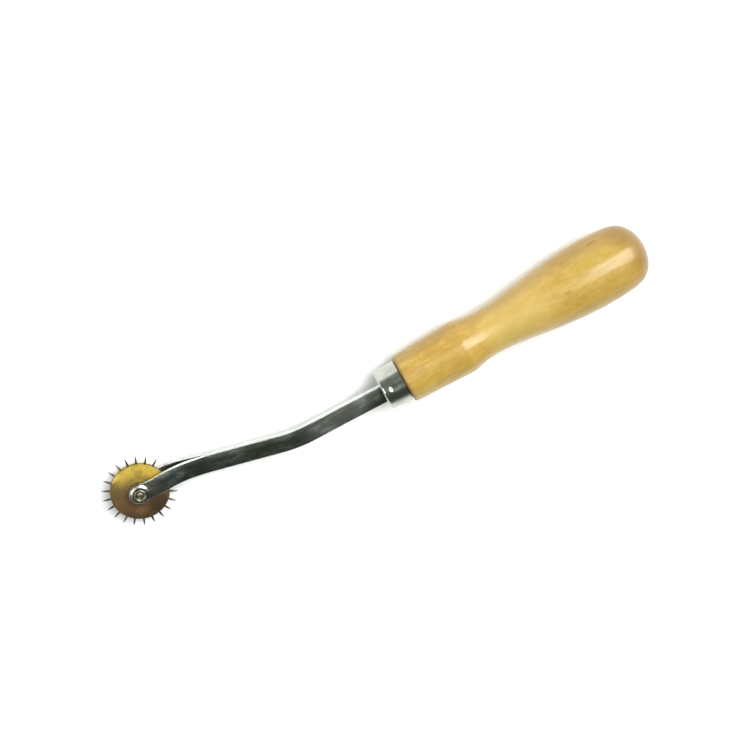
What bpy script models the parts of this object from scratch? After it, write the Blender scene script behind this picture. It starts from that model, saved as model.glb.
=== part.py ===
"""Needle-point tracing wheel: a brass wheel with steel needles round its rim,
turning on a rolled rivet in the fork of a cranked two-strip steel shank that
a ferrule holds in a turned wooden handle.

Everything is modelled in the tool's own frame and then laid down by one empty:
  tool frame   +X along the handle from the butt to the wheel, origin on the
               handle's axis where the wood meets the ferrule, +Z square to the
               wheel
  world frame  the tool as it lies on a level surface, z = 0
Lengths below are in millimetres and are scaled to metres by MM.
"""
import math

import bmesh
import bpy
import numpy as np
from mathutils import Matrix, Vector

MM = 0.001

# ---------------------------------------------------------------- how it lies
REST_PITCH_DEG = 2.729       # the wheel end is lower than the butt
REST_ROLL_DEG = -2.509       # the fork leans on the far rivet head
REST_LOCATION_MM = (-7.9016, 6.0958, 8.5074)

# ---------------------------------------------------------------- handle
HANDLE_LENGTH = 91.55
# distance back from the ferrule face, radius: front edge, straight front,
# bead, waist, swell and blunt butt of the turned profile
HANDLE_STATIONS = (
    (0.0, 8.02), (0.49, 8.32), (1.18, 8.52), (2.96, 8.67), (7.89, 8.78),
    (13.81, 9.0), (19.23, 9.26), (22.49, 9.32), (24.85, 8.82), (28.14, 8.12),
    (31.63, 7.89), (36.11, 8.03), (43.58, 8.9), (50.61, 9.93), (58.65, 10.96),
    (65.69, 11.64), (70.72, 11.86), (75.8, 11.82), (79.87, 11.57), (83.42, 11.12),
    (86.16, 10.26), (88.4, 8.58), (90.13, 6.03), (91.14, 3.07), (91.55, 0.0))
SPIGOT_LENGTH = 6.8          # turned down to go inside the ferrule
SPIGOT_R_BACK = 6.7
SPIGOT_R_FRONT = 6.1

# ---------------------------------------------------------------- ferrule
FERRULE_START = 0.3
FERRULE_FRONT = 8.1
FERRULE_R_BACK = 7.45
FERRULE_R_FRONT = 6.85
FERRULE_CORNER = 0.9
FERRULE_WALL = 0.5
SLOT_CLEARANCE = 0.3

# ---------------------------------------------------------------- shank
STRIP_WIDTH = 6.3
STRIP_THICK = 1.0
STRIP_GAP = 0.2              # between the two strips where they lie together
SHANK_Y_AT_FERRULE = 0.76    # the shank enters slightly off the handle's axis
FERRULE_X = 8.1
ANGLE_BACK = -1.55           # the three straight lengths, degrees from +X
ANGLE_MIDDLE = -15.4
ANGLE_FORK = -1.13
BEND_1_X = 40.84
BEND_2_X = 81.0
BEND_1_R = 44.5
BEND_2_R = 36.5
TANG_END_X = -24.0
TANG_TAPER_X = 1.0
TANG_END_WIDTH = 3.2
FORK_START = 26.0            # distances from the axle along the strip
FORK_END = 6.0
FORK_INNER = 2.6             # half the gap between the arms at the wheel
ARM_END = 3.7                # how far the rounded end reaches past the axle

# ---------------------------------------------------------------- axle
AXLE_X = 94.65
RIVET_R = 1.6
RIVET_DISH_R = 1.2           # each end is a shallow cup whose lip is rolled over
RIVET_DISH_DEPTH = 1.2
RIVET_HEAD_R = 2.25
RIVET_HEAD_HEIGHT = 0.7
RIVET_GAP = 0.1
ARM_HOLE_R = 1.7
WASHER_R = 4.0
WASHER_BORE_R = 1.75
WASHER_Z0, WASHER_Z1 = 1.82, 2.48

# ---------------------------------------------------------------- wheel
NEEDLES = 22
NEEDLE_PHASE_DEG = 1.1
DISC_R = 9.85
DISC_THICK = 0.4
DISC_FACE_Z = 0.58           # inner face of the flat part
DISC_RIM_Z = 0.40            # inner face at the rim, which grips the needles
HUB_BORE_R = 1.65
HUB_NECK_R = 3.0
HUB_FLANGE_R = 4.9
HUB_FLANGE_Z = 0.46
HUB_Z = 1.72
NEEDLE_R = 0.35
NEEDLE_ROOT = 5.15
NEEDLE_TAPER = 10.0
NEEDLE_TIP = 12.7
LATHE_STEPS = 44


# ================================================================ helpers
def clear_scene():
    for ob in list(bpy.data.objects):
        bpy.data.objects.remove(ob, do_unlink=True)
    for col in list(bpy.data.collections):
        bpy.data.collections.remove(col)


def material(name, colour, roughness, metallic):
    mat = bpy.data.materials.new(name)
    mat.use_nodes = True
    bsdf = mat.node_tree.nodes["Principled BSDF"]
    bsdf.inputs["Base Color"].default_value = (*colour, 1.0)
    bsdf.inputs["Roughness"].default_value = roughness
    bsdf.inputs["Metallic"].default_value = metallic
    mat.diffuse_color = (*colour, 1.0)
    return mat


def add_object(name, mesh, collection, parent, mat=None):
    ob = bpy.data.objects.new(name, mesh)
    collection.objects.link(ob)
    ob.parent = parent
    if mat is not None:
        mesh.materials.append(mat)
    return ob


def shade(mesh, angle=35.0):
    mesh.shade_smooth()
    mesh.set_sharp_from_angle(angle=math.radians(angle))


def lathe(name, profile, closed, collection, parent, mat, steps=LATHE_STEPS):
    """A turned piece: profile points (radius, height) in mm, running from top
    to bottom on the outer side, turned about local Z by a Screw modifier."""
    mesh = bpy.data.meshes.new(name)
    verts = [(r * MM, 0.0, z * MM) for r, z in profile]
    n = len(verts)
    edges = [(i, i + 1) for i in range(n - 1)]
    if closed:
        edges.append((n - 1, 0))
    mesh.from_pydata(verts, edges, [])
    ob = add_object(name, mesh, collection, parent, mat)
    screw = ob.modifiers.new("turn", "SCREW")
    screw.axis = 'Z'
    screw.angle = math.tau
    screw.steps = steps
    screw.render_steps = steps
    screw.use_merge_vertices = True
    screw.merge_threshold = 0.000005
    screw.use_smooth_shade = True
    return ob


def freeze(ob, smooth=35.0):
    """Replace an object's mesh by its evaluated shape, so it can be cut."""
    deps = bpy.context.evaluated_depsgraph_get()
    mesh = bpy.data.meshes.new_from_object(ob.evaluated_get(deps))
    old = ob.data
    ob.modifiers.clear()
    ob.data = mesh
    mesh.name = ob.name
    bpy.data.meshes.remove(old)
    shade(mesh, smooth)
    return ob


def cut(ob, cutter):
    mod = ob.modifiers.new("cut_" + cutter.name, "BOOLEAN")
    mod.operation = 'DIFFERENCE'
    mod.solver = 'EXACT'
    mod.object = cutter


def make_cutter(ob):
    ob.hide_render = True
    ob.display_type = 'WIRE'
    return ob


def box_mesh(name, x0, x1, y0, y1, z0, z1):
    bm = bmesh.new()
    bmesh.ops.create_cube(bm, size=1.0)
    size = Vector((x1 - x0, y1 - y0, z1 - z0)) * MM
    mid = Vector((x0 + x1, y0 + y1, z0 + z1)) * (MM / 2)
    for v in bm.verts:
        v.co = Vector(v.co[i] * size[i] for i in range(3)) + mid
    mesh = bpy.data.meshes.new(name)
    bm.to_mesh(mesh)
    bm.free()
    return mesh


def cylinder_mesh(name, radius, height, segments):
    bm = bmesh.new()
    bmesh.ops.create_cone(bm, cap_ends=True, segments=segments,
                          radius1=radius * MM, radius2=radius * MM,
                          depth=height * MM)
    mesh = bpy.data.meshes.new(name)
    bm.to_mesh(mesh)
    bm.free()
    return mesh


def monotone(xs, ys, count):
    """Points on a smooth curve through the stations (piecewise cubic whose
    slopes never overshoot), evenly spaced along the stations' polyline."""
    xs = np.asarray(xs, float)
    ys = np.asarray(ys, float)
    s = np.concatenate([[0.0], np.cumsum(np.hypot(np.diff(xs), np.diff(ys)))])

    def slopes(v):
        h = np.diff(s)
        d = np.diff(v) / h
        m = np.zeros_like(v)
        m[0], m[-1] = d[0], d[-1]
        for i in range(1, len(v) - 1):
            if d[i - 1] * d[i] > 0:
                w1 = 2 * h[i] + h[i - 1]
                w2 = h[i] + 2 * h[i - 1]
                m[i] = (w1 + w2) / (w1 / d[i - 1] + w2 / d[i])
        return m

    def sample(v, m, q):
        i = np.clip(np.searchsorted(s, q, side="right") - 1, 0, len(s) - 2)
        h = s[i + 1] - s[i]
        t = (q - s[i]) / h
        return ((2 * t**3 - 3 * t**2 + 1) * v[i] + (t**3 - 2 * t**2 + t) * h * m[i]
                + (-2 * t**3 + 3 * t**2) * v[i + 1] + (t**3 - t**2) * h * m[i + 1])

    q = np.linspace(0.0, s[-1], count)
    return list(zip(sample(xs, slopes(xs), q), sample(ys, slopes(ys), q)))


def smoothstep(t):
    t = min(max(t, 0.0), 1.0)
    return t * t * (3 - 2 * t)


# ================================================================ shank line
def shank_line():
    """The centre line of the shank: three straight lengths joined by two
    tangent bends. Returns point(s) -> (x, y, heading), with s running from the
    tang's end to the rounded tip, the joins, the axle's s, the whole length
    and the axle's y."""
    a0, a1, a2 = (math.radians(a) for a in (ANGLE_BACK, ANGLE_MIDDLE, ANGLE_FORK))
    y_b1 = SHANK_Y_AT_FERRULE + (BEND_1_X - FERRULE_X) * math.tan(a0)
    y_b2 = y_b1 + (BEND_2_X - BEND_1_X) * math.tan(a1)
    t1 = BEND_1_R * math.tan(abs(a1 - a0) / 2)
    t2 = BEND_2_R * math.tan(abs(a2 - a1) / 2)
    axle_y = y_b2 + (AXLE_X - BEND_2_X) * math.tan(a2)

    def ahead(x, y, a, d):
        return x + d * math.cos(a), y + d * math.sin(a)

    pieces = []                                   # kind, start, heading, length
    len_tang = (BEND_1_X - TANG_END_X) / math.cos(a0) - t1
    p = (TANG_END_X, y_b1 + (TANG_END_X - BEND_1_X) * math.tan(a0))
    pieces.append(("line", p, a0, len_tang, 0.0))
    p = ahead(BEND_1_X, y_b1, a0, -t1)
    pieces.append(("arc", p, a0, BEND_1_R * abs(a1 - a0), -1.0 / BEND_1_R))
    p = ahead(BEND_1_X, y_b1, a1, t1)
    pieces.append(("line", p, a1, (BEND_2_X - BEND_1_X) / math.cos(a1) - t1 - t2, 0.0))
    p = ahead(BEND_2_X, y_b2, a1, -t2)
    pieces.append(("arc", p, a1, BEND_2_R * abs(a2 - a1), 1.0 / BEND_2_R))
    p = ahead(BEND_2_X, y_b2, a2, t2)
    pieces.append(("line", p, a2, (AXLE_X - BEND_2_X) / math.cos(a2) - t2 + ARM_END, 0.0))
    total = sum(q[3] for q in pieces)
    axle_s = total - ARM_END

    def point(s):
        s = min(max(s, 0.0), total)
        for kind, (x, y), a, length, k in pieces[:-1]:
            if s <= length:
                break
            s -= length
        else:
            kind, (x, y), a, length, k = pieces[-1]
        if kind == "line":
            return x + s * math.cos(a), y + s * math.sin(a), a
        h = a + k * s
        return x + (math.sin(h) - math.sin(a)) / k, y - (math.cos(h) - math.cos(a)) / k, h

    marks = [0.0]
    for piece in pieces:
        marks.append(marks[-1] + piece[3])
    return point, marks, axle_s, total, axle_y


POINT, MARKS, AXLE_S, TOTAL_S, AXLE_Y = shank_line()


def strip_stations():
    """Places along the strip where it needs a cross-section."""
    tang_s = (TANG_TAPER_X - TANG_END_X)
    st = {0.0, tang_s}
    for i, (s0, s1) in enumerate(zip(MARKS[:-1], MARKS[1:])):
        st.add(s0)
        st.add(min(s1, AXLE_S))
        if i in (1, 3):
            for k in range(1, 8):
                st.add(s0 + (s1 - s0) * k / 8)
    f0, f1 = AXLE_S - FORK_START, AXLE_S - FORK_END
    for k in range(13):
        st.add(f0 + (f1 - f0) * k / 12)
    st = sorted(s for s in st if s <= AXLE_S)
    out = [st[0]]
    for s in st[1:]:
        if s - out[-1] > 0.25:
            out.append(s)
    out[-1] = AXLE_S
    centre = TOTAL_S - STRIP_WIDTH / 2           # of the arm's rounded end
    for k in range(9):
        out.append(centre + STRIP_WIDTH / 2 * math.sin(math.radians(k * 10.5)))
    return out


def strip_half_width(s):
    tang_s = TANG_TAPER_X - TANG_END_X
    w = STRIP_WIDTH / 2
    if s < tang_s:
        return TANG_END_WIDTH / 2 + (w - TANG_END_WIDTH / 2) * s / tang_s
    d = s - (TOTAL_S - w)
    if d > 0.0:
        return math.sqrt(max(w * w - d * d, 0.0))
    return w


def strip_inner_z(s):
    f0, f1 = AXLE_S - FORK_START, AXLE_S - FORK_END
    lift = smoothstep((s - f0) / (f1 - f0))
    return STRIP_GAP / 2 + (FORK_INNER - STRIP_GAP / 2) * lift


def make_strip(name, side, collection, parent, mat):
    """One steel strip: a flat grid bent to the shank's line and to the fork's
    spread, thickened outwards. side is +1 for the near strip, -1 for the far."""
    stations = strip_stations()
    cols = 4
    bm = bmesh.new()
    bmesh.ops.create_grid(bm, x_segments=len(stations) - 1, y_segments=cols, size=1.0)
    nx, ny = len(stations), cols + 1
    for v in bm.verts:
        i = round((v.co.x + 1) / 2 * (nx - 1))
        u = v.co.y                                # -1 .. 1 across the strip
        s = stations[i]
        x, y, a = POINT(s)
        w = strip_half_width(s) * u
        z = strip_inner_z(s)
        v.co = Vector((x - math.sin(a) * w, y + math.cos(a) * w, side * z)) * MM
    if side < 0:
        bmesh.ops.reverse_faces(bm, faces=bm.faces[:])
    mesh = bpy.data.meshes.new(name)
    bm.to_mesh(mesh)
    bm.free()
    ob = add_object(name, mesh, collection, parent, mat)
    solid = ob.modifiers.new("thickness", "SOLIDIFY")
    solid.thickness = STRIP_THICK * MM
    solid.offset = 1.0
    solid.use_even_offset = True
    return ob


# ================================================================ build
def main():
    clear_scene()
    scene = bpy.context.scene
    parts = bpy.data.collections.new("needle_tracing_wheel")
    cutters = bpy.data.collections.new("cutters")
    scene.collection.children.link(parts)
    scene.collection.children.link(cutters)

    wood = material("lacquered_wood", (0.76, 0.50, 0.17), 0.30, 0.0)
    plated = material("plated_steel", (0.62, 0.64, 0.62), 0.22, 1.0)
    ferrule_plate = material("plated_ferrule", (0.70, 0.71, 0.68), 0.12, 1.0)
    rivet_steel = material("rivet_steel", (0.66, 0.65, 0.60), 0.30, 1.0)
    brass = material("brass_sheet", (0.72, 0.50, 0.16), 0.34, 1.0)
    hub_brass = material("hub_brass", (0.62, 0.44, 0.18), 0.40, 1.0)
    washer_steel = material("washer_steel", (0.40, 0.38, 0.32), 0.45, 1.0)
    needle_steel = material("needle_steel", (0.30, 0.30, 0.30), 0.35, 1.0)

    # the tool as it lies: one empty carries everything
    rest = bpy.data.objects.new("tool_rest", None)
    parts.objects.link(rest)
    pitch = Matrix.Rotation(math.radians(REST_PITCH_DEG), 4, 'Y')
    roll = Matrix.Rotation(math.radians(REST_ROLL_DEG), 4, 'X')
    rest.matrix_world = Matrix.Translation(Vector(REST_LOCATION_MM) * MM) @ pitch @ roll

    # the wheel's axis: the joint's empty
    axle = bpy.data.objects.new("wheel_axis", None)
    parts.objects.link(axle)
    axle.parent = rest
    axle.location = Vector((AXLE_X, AXLE_Y, 0.0)) * MM

    along_x = Matrix.Rotation(math.radians(90.0), 4, 'Y')   # local Z becomes tool +X

    # ---- handle: turned profile from the spigot's face to the butt
    body = monotone([q[0] for q in HANDLE_STATIONS], [q[1] for q in HANDLE_STATIONS], 42)
    profile = [(0.0, SPIGOT_LENGTH), (SPIGOT_R_FRONT - 0.3, SPIGOT_LENGTH),
               (SPIGOT_R_FRONT, SPIGOT_LENGTH - 0.3), (SPIGOT_R_BACK, 0.0)]
    profile += [(r, -d) for d, r in body[:-1]] + [(0.0, -HANDLE_LENGTH)]
    handle = lathe("handle", profile, False, parts, rest, wood, steps=40)
    handle.matrix_basis = along_x
    x0, y0, a0 = POINT(0.0)
    mortise = add_object("tang_mortise", box_mesh(
        "tang_mortise", TANG_END_X - 0.6, SPIGOT_LENGTH + 3.0,
        -STRIP_WIDTH / 2 - 0.3, STRIP_WIDTH / 2 + 0.3,
        -STRIP_THICK - STRIP_GAP / 2 - 0.3, STRIP_THICK + STRIP_GAP / 2 + 0.3), cutters, rest)
    y_mid = SHANK_Y_AT_FERRULE - FERRULE_X * math.tan(math.radians(ANGLE_BACK))
    mortise.location = Vector((0.0, y_mid, 0.0)) * MM
    mortise.rotation_euler = (0.0, 0.0, math.radians(ANGLE_BACK))
    make_cutter(mortise)
    bpy.context.view_layer.update()
    freeze(handle, 40.0)
    cut(handle, mortise)

    # ---- ferrule: a drawn cup with a rounded front edge and a slot
    rb, rf, x1 = FERRULE_R_BACK, FERRULE_R_FRONT, FERRULE_FRONT
    outer = [(0.0, x1), (rf - FERRULE_CORNER - 1.5, x1)]
    for k in range(6):
        t = math.radians(90 - 18 * k)
        outer.append((rf - FERRULE_CORNER + FERRULE_CORNER * math.cos(t),
                      x1 - FERRULE_CORNER + FERRULE_CORNER * math.sin(t)))
    outer.append((rb, FERRULE_START))
    w = FERRULE_WALL
    inner = [(rb - w, FERRULE_START)]
    ci = FERRULE_CORNER - w
    for k in range(3):
        t = math.radians(45 * k)
        inner.append((rf - FERRULE_CORNER + ci * math.cos(t), x1 - FERRULE_CORNER + ci * math.sin(t)))
    inner.append((0.0, x1 - w))
    ferrule = lathe("ferrule", outer + inner, False, parts, rest, ferrule_plate)
    ferrule.matrix_basis = along_x
    c = SLOT_CLEARANCE
    slot = add_object("ferrule_slot", box_mesh(
        "ferrule_slot", FERRULE_FRONT - 2.0, FERRULE_FRONT + 1.0,
        -STRIP_WIDTH / 2 - c, STRIP_WIDTH / 2 + c,
        -STRIP_THICK - STRIP_GAP / 2 - c, STRIP_THICK + STRIP_GAP / 2 + c), cutters, rest)
    slot.location = mortise.location
    slot.rotation_euler = mortise.rotation_euler
    make_cutter(slot)
    bpy.context.view_layer.update()
    freeze(ferrule, 40.0)
    cut(ferrule, slot)

    # ---- the two strips of the shank
    hole = add_object("axle_hole", cylinder_mesh("axle_hole", ARM_HOLE_R, 12.0, 32), cutters, axle)
    make_cutter(hole)
    for name, side in (("front_arm", 1), ("rear_arm", -1)):
        arm = make_strip(name, side, parts, rest, plated)
        bpy.context.view_layer.update()
        freeze(arm, 30.0)
        cut(arm, hole)

    # ---- rivet, both ends cupped and rolled over the arms
    face = FORK_INNER + STRIP_THICK + RIVET_GAP
    top = face + RIVET_HEAD_HEIGHT
    mid_r = (RIVET_HEAD_R + RIVET_DISH_R) / 2
    half = (RIVET_HEAD_R - RIVET_DISH_R) / 2
    floor = top - RIVET_DISH_DEPTH
    side_profile = [(0.0, floor), (RIVET_DISH_R - 0.25, floor), (RIVET_DISH_R, floor + 0.25)]
    for k in range(7):                            # dish edge, over the lip, outer edge
        t = math.radians(180 - 30 * k)
        side_profile.append((mid_r + half * math.cos(t),
                             face + 0.15 + (RIVET_HEAD_HEIGHT - 0.15) * math.sin(t)))
    side_profile += [(RIVET_HEAD_R, face), (RIVET_R, face)]
    rivet_profile = side_profile + [(r, -z) for r, z in reversed(side_profile)]
    rivet = lathe("axle_rivet", rivet_profile, False, parts, rest, rivet_steel, steps=28)
    rivet.location = axle.location

    # ---- spacer washers between the wheel and the arms
    for name, sgn in (("front_washer", 1), ("rear_washer", -1)):
        z1, z0 = (WASHER_Z1, WASHER_Z0) if sgn > 0 else (-WASHER_Z0, -WASHER_Z1)
        washer = lathe(name, [(WASHER_BORE_R, z1), (WASHER_R - 0.15, z1), (WASHER_R, z1 - 0.15),
                              (WASHER_R, z0 + 0.15), (WASHER_R - 0.15, z0), (WASHER_BORE_R, z0)],
                       True, parts, rest, washer_steel, steps=32)
        washer.location = axle.location

    # ---- hub: two necks for the discs, a flange that backs the needles
    lathe("hub_bush", [(HUB_BORE_R, HUB_Z), (HUB_NECK_R, HUB_Z), (HUB_NECK_R, HUB_FLANGE_Z),
                       (HUB_FLANGE_R, HUB_FLANGE_Z), (HUB_FLANGE_R, -HUB_FLANGE_Z),
                       (HUB_NECK_R, -HUB_FLANGE_Z), (HUB_NECK_R, -HUB_Z), (HUB_BORE_R, -HUB_Z)],
          True, parts, axle, hub_brass, steps=32)

    # ---- two brass discs, dished at the rim onto the needles
    t = DISC_THICK
    zi, zr, R = DISC_FACE_Z, DISC_RIM_Z, DISC_R
    upper = [(HUB_NECK_R + 0.1, zi + t), (7.6, zi + t), (8.9, (zi + zr) / 2 + t + 0.06), (R - 0.18, zr + t - 0.02),
             (R, zr + t - 0.16), (R, zr + 0.1), (R - 0.1, zr), (8.9, (zi + zr) / 2), (7.6, zi),
             (HUB_NECK_R + 0.1, zi)]
    lathe("front_disc", upper, True, parts, axle, brass)
    lathe("rear_disc", [(r, -z) for r, z in reversed(upper)], True, parts, axle, brass)

    # ---- needles: one turned mesh, shared, set round the hub
    needle_profile = [(0.0, NEEDLE_TIP), (0.07, NEEDLE_TIP - 0.12), (NEEDLE_R * 0.72, NEEDLE_TIP - 1.4),
                      (NEEDLE_R, NEEDLE_TAPER), (NEEDLE_R, NEEDLE_ROOT), (0.0, NEEDLE_ROOT)]
    first = None
    for k in range(NEEDLES):
        name = "needle_%02d" % (k + 1)
        if first is None:
            needle = lathe(name, needle_profile, False, parts, axle, needle_steel, steps=10)
            bpy.context.view_layer.update()
            freeze(needle, 50.0)
            first = needle
        else:
            needle = bpy.data.objects.new(name, first.data)
            parts.objects.link(needle)
            needle.parent = axle
        angle = math.radians(NEEDLE_PHASE_DEG) + k * math.tau / NEEDLES
        needle.matrix_basis = Matrix.Rotation(angle, 4, 'Z') @ along_x

    bpy.context.view_layer.update()


main()
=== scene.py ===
"""Looks for the needle-point tracing wheel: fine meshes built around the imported
CAD frame, procedural materials, a plain pale floor, soft studio light and the
camera."""

import math

import bmesh
import bpy
import numpy as np
from mathutils import Matrix, Vector


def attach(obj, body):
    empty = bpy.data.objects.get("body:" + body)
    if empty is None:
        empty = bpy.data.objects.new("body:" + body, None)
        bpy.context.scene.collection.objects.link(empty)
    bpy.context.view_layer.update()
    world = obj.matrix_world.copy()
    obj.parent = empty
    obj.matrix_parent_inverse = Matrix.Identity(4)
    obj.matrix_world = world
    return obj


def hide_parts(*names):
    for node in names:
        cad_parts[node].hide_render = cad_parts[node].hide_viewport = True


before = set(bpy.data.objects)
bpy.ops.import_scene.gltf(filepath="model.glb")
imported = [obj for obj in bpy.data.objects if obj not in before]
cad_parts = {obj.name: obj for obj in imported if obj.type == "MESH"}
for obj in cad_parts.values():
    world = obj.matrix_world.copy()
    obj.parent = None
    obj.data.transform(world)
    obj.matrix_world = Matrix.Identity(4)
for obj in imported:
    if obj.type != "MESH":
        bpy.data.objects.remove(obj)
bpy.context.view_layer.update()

MM = 0.001

# ------------------------------------------------------------------ the lie
# The tool's own frame: +X along the handle from butt to wheel, origin on the
# handle's axis where wood meets ferrule, +Z square to the wheel.
REST = (Matrix.Translation(Vector((-7.9016, 6.0958, 8.5074)) * MM)
        @ Matrix.Rotation(math.radians(2.729), 4, 'Y')
        @ Matrix.Rotation(math.radians(-2.509), 4, 'X'))

# shank line (mm, degrees)
STRIP_W = 6.3
STRIP_T = 1.0
STRIP_GAP = 0.10
SHANK_Y = 0.76
FERRULE_X = 8.1
A0, A1, A2 = (math.radians(a) for a in (-1.55, -15.4, -1.13))
B1_X, B2_X, B1_R, B2_R = 40.84, 81.0, 44.5, 36.5
TANG_END_X, TANG_TAPER_X, TANG_END_W = -24.0, 1.0, 3.2
FORK_START, FORK_END, FORK_INNER = 26.0, 6.0, 2.6
ARM_END = 3.7
AXLE_X = 94.65
NEEDLES = 22
PHASE = math.radians(1.1)


# ================================================================== meshes
def link(name, mesh, matrix):
    ob = bpy.data.objects.new(name, mesh)
    bpy.context.scene.collection.objects.link(ob)
    ob.matrix_world = matrix
    return ob


def smooth(mesh, angle):
    mesh.shade_smooth()
    mesh.set_sharp_from_angle(angle=math.radians(angle))


def finish_piece(ob, nodes, body, mat):
    ob.data.materials.clear()
    ob.data.materials.append(mat)
    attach(ob, body)
    if nodes:
        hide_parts(*nodes)
    return ob


def monotone(xs, ys, count):
    """A smooth curve through stations whose slopes never overshoot."""
    xs, ys = np.asarray(xs, float), np.asarray(ys, float)
    s = np.concatenate([[0.0], np.cumsum(np.hypot(np.diff(xs), np.diff(ys)))])

    def slopes(v):
        h = np.diff(s)
        d = np.diff(v) / h
        m = np.zeros_like(v)
        m[0], m[-1] = d[0], d[-1]
        for i in range(1, len(v) - 1):
            if d[i - 1] * d[i] > 0:
                w1, w2 = 2 * h[i] + h[i - 1], h[i] + 2 * h[i - 1]
                m[i] = (w1 + w2) / (w1 / d[i - 1] + w2 / d[i])
        return m

    def sample(v, m, q):
        i = np.clip(np.searchsorted(s, q, side="right") - 1, 0, len(s) - 2)
        h = s[i + 1] - s[i]
        t = (q - s[i]) / h
        return ((2 * t**3 - 3 * t**2 + 1) * v[i] + (t**3 - 2 * t**2 + t) * h * m[i]
                + (-2 * t**3 + 3 * t**2) * v[i + 1] + (t**3 - t**2) * h * m[i + 1])

    q = np.linspace(0.0, s[-1], count)
    return list(zip(sample(xs, slopes(xs), q), sample(ys, slopes(ys), q)))


def turned(name, profile, steps, axis='X', closed=False, wobble=None, sharp=40.0):
    """A turned mesh. profile is (radius, height along the axis) in mm, from top
    to bottom on the outer side; a radius of 0 is one point on the axis."""
    rings, verts, faces = [], [], []
    for r, h in profile:
        if r <= 1e-6:
            rings.append([len(verts)])
            verts.append((0.0, 0.0, h))
            continue
        ring = []
        for k in range(steps):
            a = math.tau * k / steps
            rr, hh = (r, h) if wobble is None else wobble(r, h, a)
            ring.append(len(verts))
            verts.append((rr * math.cos(a), rr * math.sin(a), hh))
        rings.append(ring)
    pairs = list(zip(rings[:-1], rings[1:]))
    if closed:
        pairs.append((rings[-1], rings[0]))
    for up, lo in pairs:
        for k in range(steps):
            j = (k + 1) % steps
            if len(up) == 1 and len(lo) == 1:
                continue
            if len(up) == 1:
                faces.append((up[0], lo[k], lo[j]))
            elif len(lo) == 1:
                faces.append((up[k], lo[0], up[j]))
            else:
                faces.append((up[k], lo[k], lo[j], up[j]))
    if axis == 'X':
        verts = [(z, x, y) for x, y, z in verts]
    mesh = bpy.data.meshes.new(name)
    mesh.from_pydata([(x * MM, y * MM, z * MM) for x, y, z in verts], [], faces)
    mesh.validate()
    mesh.update()
    smooth(mesh, sharp)
    return mesh


def box(name, size, matrix):
    """A plain cutter, removed once it has cut."""
    bm = bmesh.new()
    bmesh.ops.create_cube(bm, size=1.0, matrix=Matrix.Diagonal((*[c * MM for c in size], 1.0)))
    mesh = bpy.data.meshes.new(name)
    bm.to_mesh(mesh)
    bm.free()
    return link(name, mesh, matrix)


def cut(ob, cutter, sharp):
    """Takes the cutter out of ob for good and removes the cutter."""
    mod = ob.modifiers.new("cut", 'BOOLEAN')
    mod.operation = 'DIFFERENCE'
    mod.solver = 'EXACT'
    mod.object = cutter
    bpy.context.view_layer.update()
    deps = bpy.context.evaluated_depsgraph_get()
    mesh = bpy.data.meshes.new_from_object(ob.evaluated_get(deps))
    old = ob.data
    ob.modifiers.clear()
    ob.data = mesh
    mesh.name = old.name + "_cut"
    bpy.data.meshes.remove(old)
    smooth(mesh, sharp)
    tool = cutter.data
    bpy.data.objects.remove(cutter, do_unlink=True)
    bpy.data.meshes.remove(tool)
    return ob


# ------------------------------------------------------------------ shank line
def shank_line():
    y1 = SHANK_Y + (B1_X - FERRULE_X) * math.tan(A0)
    y2 = y1 + (B2_X - B1_X) * math.tan(A1)
    t1, t2 = B1_R * math.tan(abs(A1 - A0) / 2), B2_R * math.tan(abs(A2 - A1) / 2)
    axle_y = y2 + (AXLE_X - B2_X) * math.tan(A2)

    def go(x, y, a, d):
        return x + d * math.cos(a), y + d * math.sin(a)

    runs = [((TANG_END_X, y1 + (TANG_END_X - B1_X) * math.tan(A0)), A0,
             (B1_X - TANG_END_X) / math.cos(A0) - t1, 0.0),
            (go(B1_X, y1, A0, -t1), A0, B1_R * abs(A1 - A0), -1.0 / B1_R),
            (go(B1_X, y1, A1, t1), A1, (B2_X - B1_X) / math.cos(A1) - t1 - t2, 0.0),
            (go(B2_X, y2, A1, -t2), A1, B2_R * abs(A2 - A1), 1.0 / B2_R),
            (go(B2_X, y2, A2, t2), A2, (AXLE_X - B2_X) / math.cos(A2) - t2 + ARM_END, 0.0)]
    total = sum(r[2] for r in runs)

    def point(s):
        s = min(max(s, 0.0), total)
        for (x, y), a, length, k in runs:
            if s <= length + 1e-9:
                break
            s -= length
        if k == 0.0:
            return x + s * math.cos(a), y + s * math.sin(a), a
        h = a + k * s
        return x + (math.sin(h) - math.sin(a)) / k, y - (math.cos(h) - math.cos(a)) / k, h

    marks = [0.0]
    for r in runs:
        marks.append(marks[-1] + r[2])
    return point, marks, total - ARM_END, total, axle_y


POINT, MARKS, AXLE_S, TOTAL_S, AXLE_Y = shank_line()
AXLE = REST @ Matrix.Translation(Vector((AXLE_X, AXLE_Y, 0.0)) * MM)


def smoothstep(t):
    t = min(max(t, 0.0), 1.0)
    return t * t * (3 - 2 * t)


def inner_z(s):
    lift = smoothstep((s - (AXLE_S - FORK_START)) / (FORK_START - FORK_END))
    return STRIP_GAP / 2 + (FORK_INNER - STRIP_GAP / 2) * lift


def half_width(s):
    tang = TANG_TAPER_X - TANG_END_X
    if s < tang:
        return TANG_END_W / 2 + (STRIP_W - TANG_END_W) / 2 * s / tang
    return STRIP_W / 2


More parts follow.
